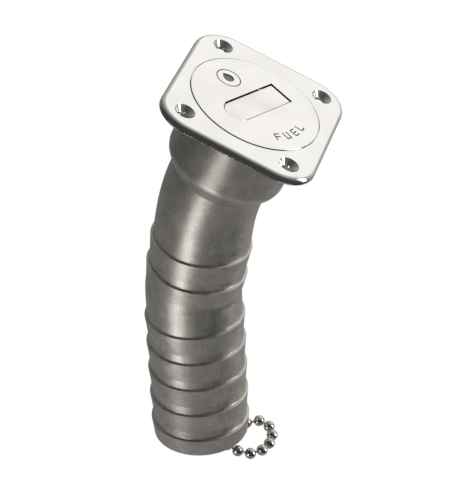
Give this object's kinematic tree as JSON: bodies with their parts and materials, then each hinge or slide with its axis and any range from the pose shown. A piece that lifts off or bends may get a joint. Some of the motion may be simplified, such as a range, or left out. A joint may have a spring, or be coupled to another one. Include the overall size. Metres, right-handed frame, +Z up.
{
  "type": "deck fill cap",
  "caption": "Screw-in deck filler: rectangular countersunk flange, threaded cap with flip tab, bent barbed hose tail and bead chain.",
  "frame": {"origin": "centre of the flange's underside, on the deck plane, on the neck's axis", "axes": "+Z up out of the deck, +X the way the hose tail leans, +Y along the flange's longer side"},
  "size_m": [0.1306, 0.09, 0.2069],
  "materials": {
    "polished_steel": "mirror-polished cast stainless steel",
    "blasted_steel": "mirror-polished flange top, satin bead-blasted neck and tail",
    "bead_steel": "bright rolled stainless beads and links",
    "wire_steel": "bright drawn stainless wire and strip",
    "seal_rubber": "black nitrile rubber"
  },
  "bodies": {
    "filler": {"filler_body": "blasted_steel", "anchor_lug": "blasted_steel", "anchor_ring": "wire_steel", "tail_end_coupling": "bead_steel", "chain_upper_beads": "bead_steel", "chain_upper_links": "bead_steel", "chain_loop_beads": "bead_steel", "chain_loop_links": "bead_steel"},
    "swivel": {"swivel_eye": "wire_steel", "swivel_washer": "wire_steel", "cap_end_ring": "wire_steel", "cap_end_coupling": "bead_steel"},
    "screw_cap": {"cap": "polished_steel", "cap_seal": "seal_rubber", "tab_pin": "wire_steel", "swivel_rivet": "wire_steel"},
    "tab": {"flip_tab": "polished_steel"}
  },
  "joints": [
    {"name": "cap_lift", "type": "slide", "parent": "filler", "child": "swivel", "axis": [0, 0, 1], "range_m": [0, 0.018], "deforming": ["chain_upper_beads", "chain_upper_links"]},
    {"name": "cap_turn", "type": "hinge", "parent": "swivel", "child": "screw_cap", "pos_m": [0, 0, 0], "axis": [0, 0, 1], "range_deg": [0, 2160]},
    {"name": "tab_flip", "type": "hinge", "parent": "screw_cap", "child": "tab", "pos_m": [0.00518, 0.01137, 0.0017], "axis": [-0.91, 0.4147, 0], "range_deg": [0, 90]}
  ],
  "couplings": [
    {"joint": "cap_lift", "follows": "cap_turn", "m_per_rad": 0.00047746}
  ]
}
